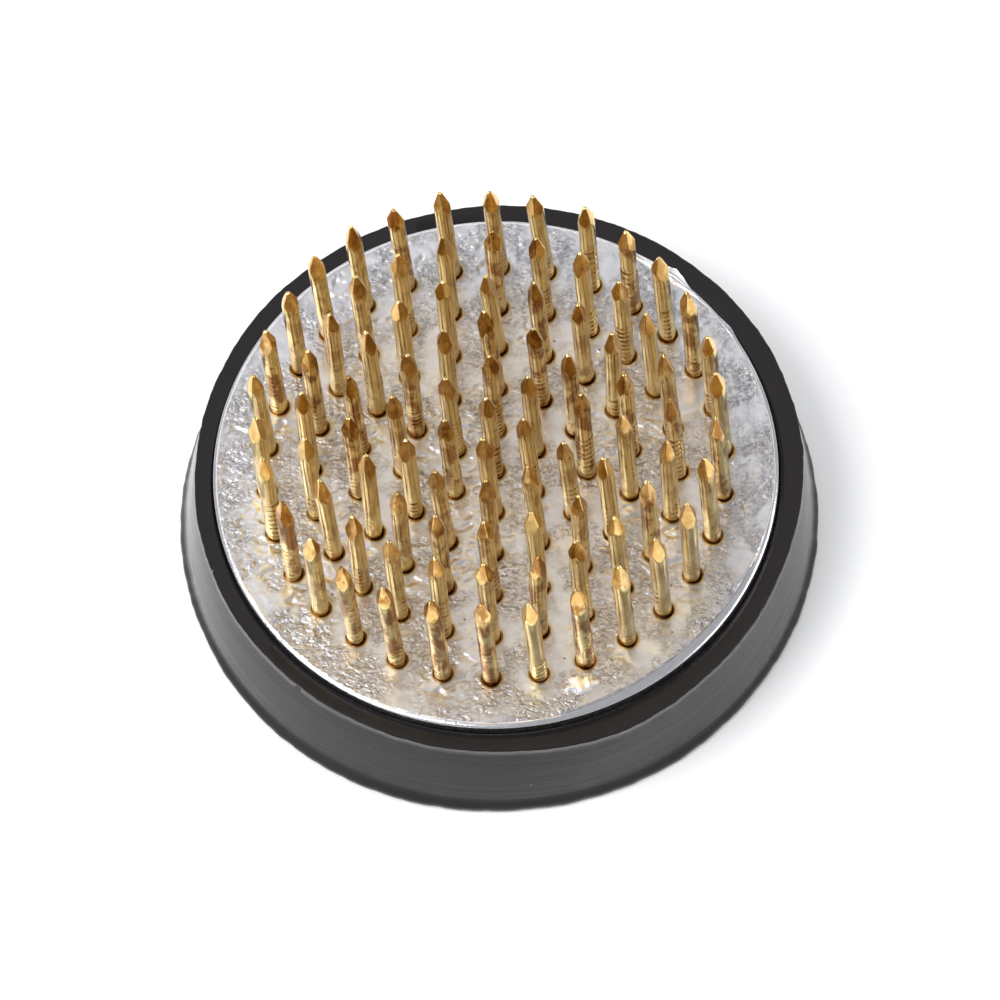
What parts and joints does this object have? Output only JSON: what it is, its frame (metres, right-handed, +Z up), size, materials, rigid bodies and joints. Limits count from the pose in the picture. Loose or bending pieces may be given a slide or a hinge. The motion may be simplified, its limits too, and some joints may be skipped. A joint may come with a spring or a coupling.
{
  "type": "flower frog",
  "caption": "Round pin flower frog: a cast metal disc full of upright pointed brass nails, seated in a black rubber ring; holds cut stems upright in a dish.",
  "frame": {"origin": "middle of the rubber ring, on the surface that the frog stands on", "axes": "+Z up along the nails, +Y along one straight row of nails"},
  "size_m": [0.0634, 0.0634, 0.0281],
  "materials": {
    "rubber": "satin",
    "casting": "satin",
    "brass_nails": "gloss"
  },
  "bodies": {
    "rubber_ring": {"rubber_ring": "rubber"},
    "pin_block": {"base_casting": "casting", "centre_nails": "brass_nails", "ring_2_nails": "brass_nails", "ring_3_nails_left": "brass_nails", "ring_3_nails_right": "brass_nails", "ring_4_nail_01": "brass_nails", "ring_4_nail_02": "brass_nails", "ring_4_nail_03": "brass_nails", "ring_4_nail_04": "brass_nails", "ring_4_nail_05": "brass_nails", "ring_4_nail_06": "brass_nails", "ring_4_nail_07": "brass_nails", "ring_4_nail_08": "brass_nails", "ring_4_nail_09": "brass_nails", "ring_4_nail_10": "brass_nails", "ring_4_nail_11": "brass_nails", "ring_4_nail_12": "brass_nails", "ring_4_nail_13": "brass_nails", "ring_4_nail_14": "brass_nails", "ring_4_nail_15": "brass_nails", "ring_4_nail_16": "brass_nails", "ring_4_nail_17": "brass_nails", "ring_4_nail_18": "brass_nails", "ring_4_nail_19": "brass_nails", "ring_4_nail_20": "brass_nails", "ring_4_nail_21": "brass_nails", "ring_4_nail_22": "brass_nails", "ring_4_nail_23": "brass_nails", "ring_4_nail_24": "brass_nails", "ring_5_nail_01": "brass_nails", "ring_5_nail_02": "brass_nails", "ring_5_nail_03": "brass_nails", "ring_5_nail_04": "brass_nails", "ring_5_nail_05": "brass_nails", "ring_5_nail_06": "brass_nails", "ring_5_nail_07": "brass_nails", "ring_5_nail_08": "brass_nails", "ring_5_nail_09": "brass_nails", "ring_5_nail_10": "brass_nails", "ring_5_nail_11": "brass_nails", "ring_5_nail_12": "brass_nails", "ring_5_nail_13": "brass_nails", "ring_5_nail_14": "brass_nails", "ring_5_nail_15": "brass_nails", "ring_5_nail_16": "brass_nails", "ring_5_nail_17": "brass_nails", "ring_5_nail_18": "brass_nails", "ring_5_nail_19": "brass_nails", "ring_5_nail_20": "brass_nails", "ring_5_nail_21": "brass_nails", "ring_5_nail_22": "brass_nails", "ring_5_nail_23": "brass_nails", "ring_5_nail_24": "brass_nails", "ring_5_nail_25": "brass_nails", "ring_5_nail_26": "brass_nails", "ring_5_nail_27": "brass_nails", "ring_5_nail_28": "brass_nails", "ring_5_nail_29": "brass_nails", "ring_5_nail_30": "brass_nails"}
  },
  "joints": [
    {"name": "block_lift", "type": "slide", "parent": "rubber_ring", "child": "pin_block", "axis": [0, 0, 1], "range_m": [0, 0.02]}
  ]
}
